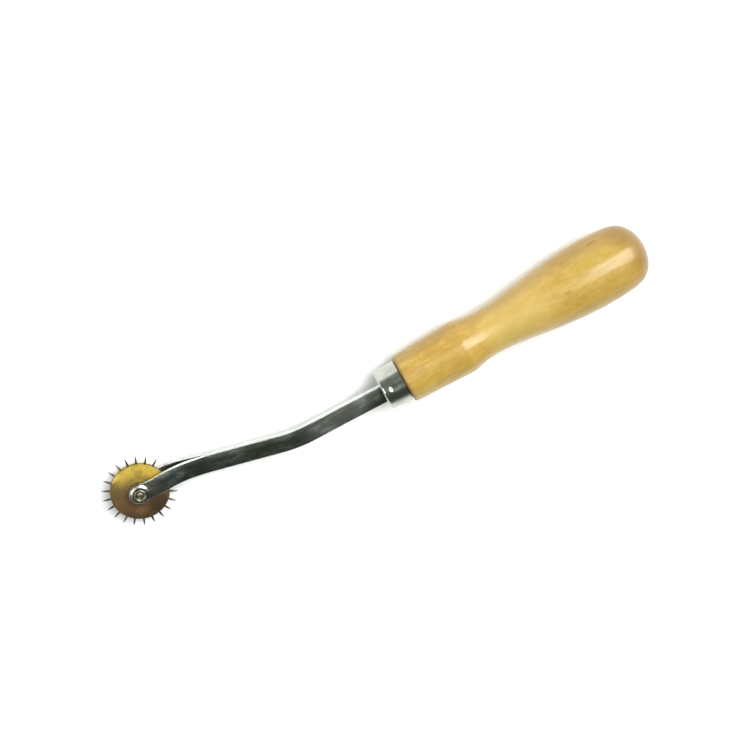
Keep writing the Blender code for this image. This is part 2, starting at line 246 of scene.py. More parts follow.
def strip_mesh(name, side):
    """One steel strip with rolled edges. The outline is offset inwards ring by
    ring, and each ring drops from the face as the edge rounds off."""
    w = STRIP_W / 2
    s_c = TOTAL_S - w
    cuts = sorted(set([round(v, 4) for v in
                       list(np.linspace(0.0, MARKS[1], 40)) + list(np.linspace(MARKS[1], MARKS[2], 28))
                       + list(np.linspace(MARKS[2], MARKS[3], 36)) + list(np.linspace(MARKS[3], MARKS[4], 28))
                       + list(np.linspace(MARKS[4], s_c, 26))]))
    arc = 20                                       # quarter-turn divisions at the tip

    def relief(s, lat):
        """The pressed end falls away round the rivet, and the rolled face is
        very slightly crowned."""
        r = math.hypot(s - AXLE_S, lat)
        near = smoothstep((s - (AXLE_S - 7.0)) / 4.5)
        return -0.07 * (lat / w) ** 2 - 0.42 * near * smoothstep((r - 2.3) / 1.5)

    def ring(d, height, outer=False):
        """Left side from the tang to the tip and back down the right side."""
        left = []
        for s in cuts:
            x, y, a = POINT(s)
            left.append((s, half_width(s) - min(d, half_width(s) * 0.8)))
        tip = []
        r = w - d
        for k in range(1, arc):
            t = math.radians(90.0 * k / arc)
            tip.append((s_c + r * math.sin(t), r * math.cos(t)))
        pts = []
        for s, lat in left + tip + [(s_c + r, 0.0)] + [(s, -v) for s, v in reversed(tip)] \
                + [(s, -v) for s, v in reversed(left)]:
            x, y, a = POINT(s)
            z = side * (inner_z(s) + height + (relief(s, lat) if outer else 0.0))
            pts.append((x - math.sin(a) * lat, y + math.cos(a) * lat, z))
        return pts

    rings = []
    ro_a, ro_b = 0.32, 0.30                       # outer edge rounding: inwards, down
    ri_a, ri_b = 0.30, 0.25                       # inner edge rounding
    for d in (0.96, 0.86, 0.74, 0.62, 0.50, 0.40, 0.32, 0.25, 0.20):   # across the outer face
        rings.append(ring(w * d, STRIP_T, True))
    for k in range(9):                            # its rounded edge
        t = math.radians(90.0 * k / 8)
        t = math.pi / 2 - t
        rings.append(ring(ro_a * (1 - math.cos(t)), STRIP_T - ro_b * (1 - math.sin(t)), True))
    for k in range(0, 6):
        t = math.radians(90.0 * k / 5)
        rings.append(ring(ri_a * (1 - math.cos(t)), ri_b * (1 - math.sin(t))))
    n = len(rings[0])
    verts = [p for r in rings for p in r]
    faces = []
    for i in range(len(rings) - 1):
        for j in range(n):
            k = (j + 1) % n
            faces.append((i * n + j, i * n + k, (i + 1) * n + k, (i + 1) * n + j))
    half = n // 2                                 # index of the very tip
    last = (len(rings) - 1) * n
    for j in range(half):
        a, b, c, d = j, j + 1, n - 2 - j, n - 1 - j
        if b == c:
            faces.append((a, d, b))
            faces.append((last + a, last + b, last + d))
        else:
            faces.append((a, d, c, b))
            faces.append((last + a, last + b, last + c, last + d))
    mesh = bpy.data.meshes.new(name)
    mesh.from_pydata([(x * MM, y * MM, z * MM) for x, y, z in verts], [], faces)
    mesh.validate()
    bm = bmesh.new()
    bm.from_mesh(mesh)
    bmesh.ops.recalc_face_normals(bm, faces=bm.faces[:])
    bm.to_mesh(mesh)
    bm.free()
    smooth(mesh, 30.0)
    return mesh


# ================================================================== materials
class Nodes:
    """Short hands for a material's node tree."""

    def __init__(self, name):
        self.mat = bpy.data.materials.new(name)
        self.mat.use_nodes = True
        self.tree = self.mat.node_tree
        self.bsdf = self.tree.nodes["Principled BSDF"]
        source = self.tree.nodes.new("ShaderNodeTexCoord")
        self.coord, self.normal = source.outputs["Object"], source.outputs["Normal"]

    def add(self, kind, **props):
        node = self.tree.nodes.new(kind)
        for k, v in props.items():
            setattr(node, k, v)
        return node

    def wire(self, a, b):
        self.tree.links.new(a, b)

    def put(self, socket, value):
        if isinstance(value, bpy.types.NodeSocket):
            self.wire(value, socket)
        else:
            socket.default_value = value

    def mapping(self, scale, rotation=(0, 0, 0), location=(0, 0, 0), source=None):
        n = self.add("ShaderNodeMapping")
        self.wire(source or self.coord, n.inputs["Vector"])
        n.inputs["Location"].default_value = location
        n.inputs["Rotation"].default_value = rotation
        n.inputs["Scale"].default_value = scale
        return n.outputs["Vector"]

    def noise(self, vector, scale=1.0, detail=4.0, rough=0.55, distortion=0.0, colour=False):
        n = self.add("ShaderNodeTexNoise")
        self.wire(vector, n.inputs["Vector"])
        n.inputs["Scale"].default_value = scale
        n.inputs["Detail"].default_value = detail
        n.inputs["Roughness"].default_value = rough
        n.inputs["Distortion"].default_value = distortion
        return n.outputs["Color" if colour else "Fac"]

    def math(self, op, a, b=None, c=None, clamp=False):
        n = self.add("ShaderNodeMath", operation=op, use_clamp=clamp)
        for socket, value in zip(n.inputs, (a, b, c)):
            if value is not None:
                self.put(socket, value)
        return n.outputs[0]

    def vec(self, op, a, b=None):
        n = self.add("ShaderNodeVectorMath", operation=op)
        self.put(n.inputs[0], a)
        if b is not None:
            self.put(n.inputs[1], b)
        return n.outputs["Value" if op in ("LENGTH", "DOT_PRODUCT", "DISTANCE") else "Vector"]

    def xyz(self, vector=None):
        n = self.add("ShaderNodeSeparateXYZ")
        self.wire(vector or self.coord, n.inputs[0])
        return n.outputs

    def join(self, x, y, z):
        n = self.add("ShaderNodeCombineXYZ")
        for socket, value in zip(n.inputs, (x, y, z)):
            self.put(socket, value)
        return n.outputs[0]

    def ramp(self, fac, stops, interpolation='LINEAR'):
        n = self.add("ShaderNodeValToRGB")
        n.color_ramp.interpolation = interpolation
        while len(n.color_ramp.elements) < len(stops):
            n.color_ramp.elements.new(0.5)
        for e, (p, c) in zip(n.color_ramp.elements, stops):
            e.position = p
            e.color = (c, c, c, 1.0) if isinstance(c, (int, float)) else (*c, 1.0)
        self.wire(fac, n.inputs[0])
        return n.outputs["Color"]

    def span(self, value, lo, hi, to_lo=0.0, to_hi=1.0, kind='SMOOTHSTEP'):
        n = self.add("ShaderNodeMapRange", interpolation_type=kind)
        self.put(n.inputs["Value"], value)
        n.inputs["From Min"].default_value = lo
        n.inputs["From Max"].default_value = hi
        n.inputs["To Min"].default_value = to_lo
        n.inputs["To Max"].default_value = to_hi
        return n.outputs["Result"]

    def mix(self, fac, a, b, blend='MIX'):
        n = self.add("ShaderNodeMix", data_type='RGBA', blend_type=blend)
        self.put(n.inputs[0], fac)
        for socket, value in ((n.inputs[6], a), (n.inputs[7], b)):
            self.put(socket, (*value, 1.0) if isinstance(value, tuple) and len(value) == 3 else value)
        return n.outputs[2]

    def bump(self, height, distance, strength=1.0, normal=None):
        n = self.add("ShaderNodeBump")
        n.inputs["Strength"].default_value = strength
        n.inputs["Distance"].default_value = distance
        self.wire(height, n.inputs["Height"])
        if normal is not None:
            self.wire(normal, n.inputs["Normal"])
        return n.outputs["Normal"]

    def set(self, **values):
        for k, v in values.items():
            self.put(self.bsdf.inputs[k.replace("_", " ")], v)


def spot(m, centre, radii, jitter=None):
    """1 at a point on the piece, 0 outside an ellipsoid of these radii (mm)."""
    v = m.vec('SUBTRACT', m.coord if jitter is None else jitter, tuple(c * MM for c in centre))
    v = m.vec('DIVIDE', v, tuple(r * MM for r in radii))
    return m.span(m.vec('LENGTH', v), 0.35, 1.0, 1.0, 0.0)


def wood_material():
    m = Nodes("lacquered_wood")
    x, y, z = m.xyz()
    # slow drift of the fibres, so that no line is dead straight
    drift = m.noise(m.mapping((14, 60, 60)), 1.0, 2.0, 0.5, colour=True)
    drift = m.vec('SUBTRACT', drift, (0.5, 0.5, 0.5))
    bent = m.vec('ADD', m.coord, m.vec('MULTIPLY', drift, (0.0, 0.0030, 0.0030)))
    bx, by, bz = m.xyz(bent)
    # growth rings round a pith that lies well outside the handle
    ring_r = m.vec('LENGTH', m.join(m.math('MULTIPLY', bx, 0.02),
                                    m.math('ADD', by, 0.034), m.math('ADD', bz, 0.021)))
    phase = m.math('MULTIPLY', ring_r, 1000.0 / 2.3)
    saw = m.math('FRACT', phase)
    late = m.span(saw, 0.45, 0.93, 0.0, 1.0)
    late = m.math('MULTIPLY', late, m.span(saw, 0.93, 1.0, 1.0, 0.0))
    # fine fibres, and broad light and dark bands along the grain
    fibre = m.noise(m.mapping((70, 1500, 1500), source=bent), 1.0, 5.0, 0.62)
    hair = m.noise(m.mapping((160, 5200, 5200), source=bent), 1.0, 3.0, 0.6)
    bands = m.noise(m.mapping((12, 150, 150), location=(0.7, 0.2, 0.4), source=bent), 1.0, 3.0, 0.5)
    blotch = m.noise(m.mapping((38, 60, 60), location=(1.3, 2.1, 0.6)), 1.0, 3.0, 0.55)
    # short dark ray flecks
    fleck = m.noise(m.mapping((420, 2300, 2300), location=(3.1, 0.4, 2.2), source=bent), 1.0, 2.0, 0.5)
    fleck = m.span(fleck, 0.61, 0.73, 0.0, 1.0)
    # small cloudy figure under the lacquer
    figure = m.noise(m.mapping((210, 520, 520), location=(2.2, 0.3, 1.4), source=bent), 1.0, 5.0, 0.68)

    base = m.ramp(bands, [(0.30, (0.394, 0.235, 0.040)), (0.50, (0.458, 0.299, 0.059)),
                          (0.70, (0.504, 0.359, 0.088))])
    warm = m.mix(m.span(blotch, 0.44, 0.70, 0.0, 0.75), base, (0.416, 0.229, 0.035))
    warm = m.mix(m.math('MULTIPLY', late, 0.20), warm, (0.352, 0.200, 0.039))
    tone = m.mix(m.span(fibre, 0.38, 0.72, 0.0, 0.16), warm, (0.338, 0.190, 0.044))
    tone = m.mix(m.span(hair, 0.35, 0.75, 0.0, 0.12), tone, (0.282, 0.147, 0.032))
    tone = m.mix(m.span(figure, 0.46, 0.70, 0.0, 0.42), tone, (0.300, 0.175, 0.034))
    tone = m.mix(m.span(figure, 0.50, 0.32, 0.0, 0.35), tone, (0.560, 0.400, 0.115))
    tone = m.mix(m.math('MULTIPLY', fleck, 0.42), tone, (0.232, 0.117, 0.029))
    tone = m.mix(m.math('MULTIPLY', spot(m, (-75.7, -11.2, 3.6), (2.6, 1.5, 0.6), bent), 0.85), tone, (0.179, 0.090, 0.019))
    tone = m.mix(m.math('MULTIPLY', spot(m, (-60.8, -2.7, 10.6), (1.6, 0.9, 3.0), bent), 0.6), tone, (0.333, 0.141, 0.019))
    # paler where hands have rubbed the neck
    neck = m.math('MULTIPLY', m.span(x, -0.062, -0.048, 0.0, 1.0), m.span(x, -0.034, -0.026, 1.0, 0.0))
    tone = m.mix(m.math('MULTIPLY', neck, 0.45), tone, (0.57, 0.42, 0.135))
    # the lacquer sinks into the end grain of the butt and darkens it
    bend = m.math('ADD', x, m.math('MULTIPLY', m.math('SUBTRACT', blotch, 0.5), 0.018))
    swell = m.span(bend, -0.056, -0.076, 0.0, 1.0)
    tone = m.mix(m.math('MULTIPLY', swell, 0.30), tone, (0.34, 0.215, 0.040))
    end = m.span(bend, -0.0795, -0.0885, 0.0, 1.0)
    tone = m.mix(m.math('MULTIPLY', end, 0.85), tone, (0.220, 0.118, 0.022))
    # painted shade: darker where the surface faces the tool's upper side, standing in for the lesser light there
    side = m.span(m.xyz(m.normal)[1], -0.72, -0.98, 0.0, 0.45)
    tone = m.mix(side, tone, (0.240, 0.135, 0.022))
    # painted shade: a dark band at the front of the shoulder, standing in for the shadow in the gap at the ferrule
    front = m.span(x, -0.0014, 0.0002, 0.0, 1.0)
    tone = m.mix(m.math('MULTIPLY', front, 0.85), tone, (0.10, 0.045, 0.016))
    m.set(Base_Color=tone)
    rough = m.span(fibre, 0.3, 0.7, 0.36, 0.52)
    m.set(Roughness=rough)
    m.bsdf.inputs["Specular IOR Level"].default_value = 0.25
    m.bsdf.inputs["Coat Weight"].default_value = 0.52
    m.bsdf.inputs["Coat Roughness"].default_value = 0.19
    m.bsdf.inputs["Coat IOR"].default_value = 1.52
    ripple = m.noise(m.mapping((60, 420, 420), location=(0.2, 5.0, 1.0)), 1.0, 2.0, 0.5)
    n1 = m.bump(ripple, 0.00009, 0.6)
    n2 = m.bump(fibre, 0.00003, 0.35, n1)
    m.wire(n2, m.bsdf.inputs["Normal"])
    m.wire(n1, m.bsdf.inputs["Coat Normal"])
    return m


def shank_material():
    m = Nodes("shank_plate")
    x, y, z = m.xyz()
    # the grain follows the crank of the strip
    y1 = SHANK_Y + (B1_X - FERRULE_X) * math.tan(A0)
    y2 = y1 + (B2_X - B1_X) * math.tan(A1)
    line = m.span(x, B1_X * MM, B2_X * MM, y1 * MM, y2 * MM, 'LINEAR')
    grain = m.join(x, m.math('SUBTRACT', y, line), z)
    # rolled strip: streaks along its length, cloudy plating, rubbed edges
    streak = m.noise(m.mapping((55, 1500, 1500), source=grain), 1.0, 4.0, 0.6)
    cloud = m.noise(m.mapping((190, 380, 380), location=(0.3, 0.9, 0.1), source=grain), 1.0, 4.0, 0.58)
    broad = m.noise(m.mapping((60, 120, 120), location=(2.3, 0.4, 0.7)), 1.0, 2.0, 0.5)
    tint = m.ramp(broad, [(0.36, (0.20, 0.210, 0.165)), (0.50, (0.24, 0.260, 0.225)), (0.66, (0.19, 0.235, 0.220))])
    tint = m.mix(m.span(cloud, 0.42, 0.70, 0.0, 0.42), tint, (0.38, 0.42, 0.39))
    tint = m.mix(m.span(streak, 0.50, 0.75, 0.0, 0.35), tint, (0.14, 0.15, 0.12))
    wavy = m.vec('ADD', m.coord, m.vec('MULTIPLY', m.vec('SUBTRACT', m.noise(m.mapping((160, 260, 260)), 1.0, 3.0, 0.6,
                                                                          colour=True), (0.5, 0.5, 0.5)),
                                       (0.010, 0.004, 0.0)))
    # lighter and darker patches at set places along the strip; the dark one at the ferrule (x 8.6 mm) is a painted dark
    # reflection of the ferrule
    for centre, radii, amount, colour in (
            ((24.0, -0.3, 1.0), (18.0, 8.0, 9.0), 0.80, (0.86, 0.90, 0.83)),
            ((89.5, -11.6, 2.5), (4.5, 4.5, 9.0), 0.55, (0.52, 0.53, 0.45)),
            ((8.6, 0.6, 1.0), (3.8, 6.0, 9.0), 0.80, (0.20, 0.21, 0.15)),
            ((50.0, -1.8, 1.0), (14.0, 5.0, 9.0), 0.45, (0.16, 0.175, 0.125)),
            ((81.5, -10.9, 2.0), (4.5, 2.6, 9.0), 0.45, (0.30, 0.42, 0.40)),
            ((72.0, -9.0, 1.0), (14.0, 5.0, 9.0), 0.50, (0.17, 0.185, 0.155))):
        tint = m.mix(m.math('MULTIPLY', spot(m, centre, radii, wavy), amount), tint, colour)
    # painted highlight: brighter towards the upper edge, standing in for light caught by its rounded edge
    edge = m.span(m.math('SUBTRACT', y, line), -0.0006, -0.0027, 0.0, 0.24)
    tint = m.mix(edge, tint, (0.98, 1.0, 0.96))
    # painted shade: a dark ring round the rivet's head, standing in for the shadow in the gap between head and arm
    off = m.vec('SUBTRACT', m.join(x, y, 0.0), (AXLE_X * MM, AXLE_Y * MM, 0.0))
    off = m.vec('LENGTH', off)
    painted_rivet_shade = m.math('MULTIPLY', m.span(off, 0.0018, 0.0023, 0.0, 1.0), m.span(off, 0.0024, 0.0029, 1.0, 0.0))
    tint = m.mix(m.math('MULTIPLY', painted_rivet_shade, 0.8), tint, (0.06, 0.055, 0.03))
    # the sheared edges are bright metal
    facing = m.math('ABSOLUTE', m.xyz(m.normal)[2])
    tint = m.mix(m.span(facing, 0.25, 0.70, 0.92, 0.0), tint, (0.97, 0.98, 0.95))
    m.set(Base_Color=tint, Metallic=1.0)
    rough = m.math('ADD', m.span(cloud, 0.35, 0.70, 0.19, 0.30), m.span(streak, 0.4, 0.7, -0.02, 0.05))
    m.set(Roughness=rough)
    n1 = m.bump(broad, 0.0009, 0.35)
    n2 = m.bump(cloud, 0.00012, 0.5, n1)
    n3 = m.bump(streak, 0.000016, 0.5, n2)
    m.wire(n3, m.bsdf.inputs["Normal"])
    return m


def ferrule_material():
    m = Nodes("ferrule_plate")
    draw = m.noise(m.mapping((900, 260, 260)), 1.0, 3.0, 0.6)
    cloud = m.noise(m.mapping((210, 260, 260), location=(0.5, 0.1, 0.8)), 1.0, 3.0, 0.55)
    tint = m.ramp(cloud, [(0.35, (0.44, 0.455, 0.400)), (0.65, (0.56, 0.575, 0.530))])
    tint = m.mix(m.span(draw, 0.5, 0.75, 0.0, 0.25), tint, (0.34, 0.35, 0.30))
    m.set(Base_Color=tint, Metallic=1.0)
    m.set(Roughness=m.math('ADD', m.span(cloud, 0.3, 0.7, 0.07, 0.13), m.span(draw, 0.4, 0.7, 0.0, 0.04)))
    n1 = m.bump(cloud, 0.00010, 0.4)
    m.wire(m.bump(draw, 0.000008, 0.5, n1), m.bsdf.inputs["Normal"])
    return m


def brass_material(name, stops, metal, rough_lo, rough_hi, patches=()):
    m = Nodes(name)
    blur = m.noise(m.mapping((500, 500, 500), location=(0.9, 0.1, 0.4)), 1.0, 4.0, 0.65, colour=True)
    blur = m.vec('ADD', m.coord, m.vec('MULTIPLY', m.vec('SUBTRACT', blur, (0.5, 0.5, 0.5)), (0.006, 0.006, 0.0)))
    x, y, z = m.xyz()
    r = m.vec('LENGTH', m.join(x, y, 0.0))
    # stamped sheet: mottled and faintly turned, with painted light and shade: yellow towards the lit side, dark brown
    # towards the other
    mott = m.noise(m.mapping((420, 420, 420), location=(0.6, 0.2, 0.3)), 1.0, 4.0, 0.6)
    fine = m.noise(m.mapping((1900, 1900, 1900)), 1.0, 3.0, 0.6)
    turn = m.noise(m.join(m.math('MULTIPLY', r, 5200.0), m.math('MULTIPLY', x, 60.0),
                          m.math('MULTIPLY', y, 60.0)), 1.0, 3.0, 0.6)
    side = m.math('ADD', m.math('MULTIPLY', x, 0.36), m.math('MULTIPLY', y, 0.93))
    side = m.math('ADD', side, m.math('MULTIPLY', m.math('SUBTRACT', mott, 0.5), 0.0065))
    side = m.math('ADD', side, m.math('MULTIPLY', m.math('SUBTRACT', fine, 0.5), 0.0030))
    tint = m.ramp(m.span(side, -0.0095, 0.0095, 0.0, 1.0, 'LINEAR'), stops)
    tint = m.mix(m.span(fine, 0.46, 0.70, 0.0, 0.30), tint, (0.12, 0.075, 0.022))
    tint = m.mix(m.span(turn, 0.50, 0.75, 0.0, 0.25), tint, (0.10, 0.06, 0.02))
    ring = m.math('MULTIPLY', m.span(r, 0.0040, 0.0050, 0.0, 1.0), m.span(r, 0.0050, 0.0068, 1.0, 0.0))
    tint = m.mix(m.math('MULTIPLY', ring, 0.35), tint, (0.07, 0.04, 0.018))
    # painted shade: darker at the rounded rim
    edge = m.span(r, 0.0092, 0.00985, 0.0, 1.0)
    tint = m.mix(m.math('MULTIPLY', edge, 0.55), tint, (0.06, 0.04, 0.018))
    for centre, radii, amount, colour in patches:
        tint = m.mix(m.math('MULTIPLY', spot(m, centre, radii, blur), amount), tint, colour)
    m.set(Base_Color=tint)
    m.bsdf.inputs["Metallic"].default_value = metal
    m.set(Roughness=m.math('ADD', m.span(mott, 0.3, 0.7, rough_lo, rough_hi), m.span(fine, 0.4, 0.7, 0.0, 0.05)))
    n1 = m.bump(mott, 0.00012, 0.5)
    n2 = m.bump(turn, 0.000010, 0.5, n1)
    m.wire(n2, m.bsdf.inputs["Normal"])
    return m


def steel_material(name, light, dark, rough_lo, rough_hi, scale=900.0, shade_ring_radii=None):
    m = Nodes(name)
    cloud = m.noise(m.mapping((scale,) * 3, location=(0.4, 0.8, 0.2)), 1.0, 4.0, 0.6)
    fine = m.noise(m.mapping((scale * 5,) * 3), 1.0, 3.0, 0.6)
    tint = m.ramp(cloud, [(0.35, dark), (0.65, light)])
    tint = m.mix(m.span(fine, 0.5, 0.75, 0.0, 0.35), tint, dark)
    m.set(Base_Color=tint, Metallic=1.0)
    m.set(Roughness=m.span(cloud, 0.3, 0.7, rough_lo, rough_hi))
    # painted shade: a dark ring at the outer edge of the head, where it meets the arm, and a dark line in the crease
    # inside the lip
    if shade_ring_radii:
        x, y, z = m.xyz()
        off = m.vec('LENGTH', m.join(x, y, 0.0))
        off = m.math('ADD', off, m.math('MULTIPLY', m.math('SUBTRACT', cloud, 0.5), 0.0006))
        tint = m.mix(m.span(off, shade_ring_radii[1], shade_ring_radii[2], 0.0, 0.8), tint, (0.05, 0.048, 0.03))
        crease_shade = m.math('MULTIPLY', m.span(off, shade_ring_radii[0] - 0.0003, shade_ring_radii[0], 0.0, 1.0), m.span(off, shade_ring_radii[0], shade_ring_radii[0] + 0.0003, 1.0, 0.0))
        tint = m.mix(m.math('MULTIPLY', crease_shade, 0.85), tint, (0.05, 0.045, 0.025))
        m.set(Base_Color=tint)
    n1 = m.bump(cloud, 0.00005, 0.4)
    m.wire(m.bump(fine, 0.00001, 0.4, n1), m.bsdf.inputs["Normal"])
    return m


def needle_material():
    m = Nodes("needle_steel")
    x, y, z = m.xyz()
    grind = m.noise(m.mapping((900, 5200, 5200)), 1.0, 3.0, 0.6)
    cloud = m.noise(m.mapping((500, 1500, 1500), location=(0.1, 0.7, 0.3)), 1.0, 3.0, 0.5)
    tint = m.ramp(cloud, [(0.35, (0.055, 0.057, 0.06)), (0.65, (0.13, 0.132, 0.135))])
    tip = m.span(x, 0.0113, 0.0127, 0.0, 0.6)
    tint = m.mix(tip, tint, (0.20, 0.20, 0.20))
    root = m.span(x, 0.0100, 0.0106, 0.7, 0.0)
    tint = m.mix(root, tint, (0.12, 0.09, 0.05))
    m.set(Base_Color=tint, Metallic=1.0)
    m.set(Roughness=m.span(grind, 0.3, 0.7, 0.26, 0.42))
    m.wire(m.bump(grind, 0.000008, 0.6), m.bsdf.inputs["Normal"])
    return m


WOOD = wood_material()
SHANK = shank_material()
FERRULE = ferrule_material()
# each ramp below runs from lit yellow to shaded brown across the piece: painted light and shade
BRASS = brass_material("disc_brass", [(0.02, (0.68, 0.490, 0.072)), (0.22, (0.52, 0.345, 0.050)), (0.38, (0.255, 0.165, 0.042)),
                                      (0.52, (0.160, 0.096, 0.038)), (0.76, (0.155, 0.076, 0.032)),
                                      (0.95, (0.075, 0.044, 0.020))], 0.45, 0.36, 0.46,
                       (((-3.6, 7.1, 0.9), (5.2, 5.2, 9.0), 0.85, (0.050, 0.031, 0.013)),
                        ((7.8, -4.6, 0.9), (4.6, 4.6, 9.0), 0.70, (0.13, 0.085, 0.026)),
                        ((-3.0, -6.5, 0.9), (3.2, 2.6, 9.0), 0.55, (0.26, 0.170, 0.030)),
                        ((3.2, 6.0, 0.9), (2.6, 2.6, 9.0), 0.45, (0.24, 0.135, 0.050)),
                        ((4.2, -8.6, 0.9), (2.6, 2.0, 9.0), 0.45, (0.90, 0.72, 0.17))))
HUB = brass_material("hub_brass", [(0.2, (0.66, 0.48, 0.14)), (0.8, (0.36, 0.24, 0.09))], 0.85, 0.34, 0.46)
RIVET = steel_material("rivet_steel", (0.38, 0.37, 0.28), (0.17, 0.165, 0.11), 0.26, 0.42,
                       shade_ring_radii=(0.00112, 0.00185, 0.00215))
WASHER = steel_material("washer_steel", (0.22, 0.165, 0.095), (0.11, 0.080, 0.045), 0.38, 0.52)
NEEDLE = needle_material()


# ================================================================== pieces
# ---- handle
STATIONS = (
    (0.0, 8.02), (0.49, 8.32), (1.18, 8.52), (2.96, 8.67), (7.89, 8.78),
    (13.81, 9.0), (19.23, 9.26), (22.49, 9.32), (24.85, 8.82), (28.14, 8.12),
    (31.63, 7.89), (36.11, 8.03), (43.58, 8.9), (50.61, 9.93), (58.65, 10.96),
    (65.69, 11.64), (70.72, 11.86), (75.8, 11.82), (79.87, 11.57), (83.42, 11.12),
    (86.16, 10.26), (88.4, 8.58), (90.13, 6.03), (91.14, 3.07), (91.55, 0.0))
body = monotone([q[0] for q in STATIONS], [q[1] for q in STATIONS], 260)
profile = [(0.0, 6.8), (5.8, 6.8), (5.95, 6.76), (6.07, 6.65), (6.1, 6.5), (6.7, 0.12), (6.78, 0.0)]
profile += [(r, -d) for d, r in body[:-1]] + [(0.0, -91.55)]
handle = link("handle_fine", turned("handle_fine", profile, 160), REST)
y_mid = SHANK_Y - FERRULE_X * math.tan(A0)
into = REST @ Matrix.Translation(Vector((0, y_mid, 0)) * MM) @ Matrix.Rotation(A0, 4, 'Z')
cut(handle, box("mortise", (34.4, STRIP_W + 0.6, 2 * STRIP_T + 0.8),
                into @ Matrix.Translation(Vector((-24.6 + 17.2, 0, 0)) * MM)), 40.0)
finish_piece(handle, ["handle"], "tool_frame", WOOD.mat)

# ---- ferrule: drawn cup, its front corner rolled, a slot for the shank
rb, rf, x1, rc, wall = 7.45, 6.85, 8.1, 0.9, 0.5
outer = [(0.0, x1), (rf - rc - 1.5, x1)]
for k in range(17):
    t = math.radians(90 - 5.4 * k)
    outer.append((rf - rc + rc * math.cos(t), x1 - rc + rc * math.sin(t)))
for k in range(1, 34):
    outer.append((rf + (rb - rf) * k / 34, x1 - rc + (0.36 - x1 + rc) * k / 34))
outer += [(rb, 0.32), (rb - 0.02, 0.30)]


def punched(r, h, a):
    """A shallow fluted dent, pressed in from the rear edge, keeps the cup
    from working loose."""
    if r < 6.0:
        return r, h
    off = math.hypot(max(h - 4.4, 0.0) / 1.7, 7.1 * (a - math.radians(104.5)) / 1.7)
    return r - 0.22 * (1 - smoothstep(off)), h


inner = [(rb - wall + 0.08, 0.30), (rb - wall, 0.40)]
for k in range(5):
    t = math.radians(22.5 * k)
    inner.append((rf - rc + (rc - wall) * math.cos(t), x1 - rc + (rc - wall) * math.sin(t)))
inner.append((0.0, x1 - wall))
ferrule = link("ferrule_fine", turned("ferrule_fine", outer + inner, 216, wobble=punched), REST)
cut(ferrule, box("slot", (3.0, STRIP_W + 0.6, 2 * STRIP_T + 0.8),
                 into @ Matrix.Translation(Vector((x1 - 0.5, 0, 0)) * MM)), 40.0)
finish_piece(ferrule, ["ferrule"], "tool_frame", FERRULE.mat)

# ---- the two strips of the shank
for node, side in (("front_arm", 1), ("rear_arm", -1)):
    arm = link(node + "_fine", strip_mesh(node + "_fine", side), REST)
    bm = bmesh.new()
    bmesh.ops.create_cone(bm, cap_ends=True, segments=64, radius1=1.7 * MM, radius2=1.7 * MM, depth=12 * MM)
    drill = bpy.data.meshes.new("drill")
    bm.to_mesh(drill)
    bm.free()
    cut(arm, link("drill", drill, AXLE), 30.0)
    finish_piece(arm, [node], "tool_frame", SHANK.mat)

# ---- rivet, both ends cupped and rolled over the arms
face = FORK_INNER + STRIP_T + 0.06
head_r, dish_r, head_h, dish_h = 2.25, 1.25, 0.74, 0.85


def hammered(r, h, a):
    """The rolled lip is never quite round or level."""
    if abs(h) < face or r < dish_r + 0.1:
        return r, h
    k = (r - dish_r) / (head_r - dish_r)
    wave = 0.5 * math.sin(3 * a + 0.7) + 0.3 * math.sin(5 * a + 2.1) + 0.2 * math.sin(8 * a)
    return r + 0.04 * k * wave, h + math.copysign(0.03 * wave * k, h)


floor_h = face + head_h - dish_h
flank = [(0.0, floor_h + 0.26)]
flank += [(0.95 * k / 8, floor_h + 0.26 * math.cos(math.pi * k / 20)) for k in range(1, 9)]
flank += [(1.02, floor_h + 0.075), (1.09, floor_h + 0.09), (1.15, floor_h + 0.15), (1.19, floor_h + 0.25)]
for k in range(25):
    t = math.radians(180 - 7.5 * k)
    flank.append(((head_r + dish_r) / 2 + (head_r - dish_r) / 2 * math.cos(t),
                  face + 0.14 + (head_h - 0.14) * math.sin(t)))
flank += [(head_r - 0.02, face + 0.05), (head_r - 0.12, face), (1.66, face), (1.6, face - 0.06)]
rivet = link("axle_rivet_fine",
             turned("axle_rivet_fine", flank + [(r, -z) for r, z in reversed(flank)], 96, 'Z', False, hammered),
             AXLE)
finish_piece(rivet, ["axle_rivet"], "tool_frame", RIVET.mat)

# ---- spacer washers
for node, sgn in (("front_washer", 1), ("rear_washer", -1)):
    z1, z0 = 2.48, 1.82
    sec = [(1.75, z1 - 0.06), (1.81, z1), (3.82, z1), (3.92, z1 - 0.03), (3.98, z1 - 0.10), (4.0, z1 - 0.2),
           (4.0, z0 + 0.2), (3.98, z0 + 0.10), (3.92, z0 + 0.03), (3.82, z0), (1.81, z0), (1.75, z0 + 0.06)]
    if sgn < 0:
        sec = [(r, -z) for r, z in reversed(sec)]
    ob = link(node + "_fine", turned(node + "_fine", sec, 96, 'Z', True), AXLE)
    finish_piece(ob, [node], "tool_frame", WASHER.mat)

# ---- hub bush
hub_sec = [(1.65, 1.66), (1.71, 1.72), (2.94, 1.72), (3.0, 1.66), (3.0, 0.50), (3.04, 0.46), (4.84, 0.46),
           (4.9, 0.40), (4.9, -0.40), (4.84, -0.46), (3.04, -0.46), (3.0, -0.50), (3.0, -1.66), (2.94, -1.72),
           (1.71, -1.72), (1.65, -1.66)]
hub = link("hub_bush_fine", turned("hub_bush_fine", hub_sec, 96, 'Z', True), AXLE)
finish_piece(hub, ["hub_bush"], "wheel", HUB.mat)

# ---- two brass discs, crowned towards the hub and pinched at the rim
R = 9.85


def disc_out(r):
    """Height of the outer face at radius r."""
    t = min(max((r - 4.2) / (9.5 - 4.2), 0.0), 1.0)
    return 1.16 - 0.36 * t ** 1.35


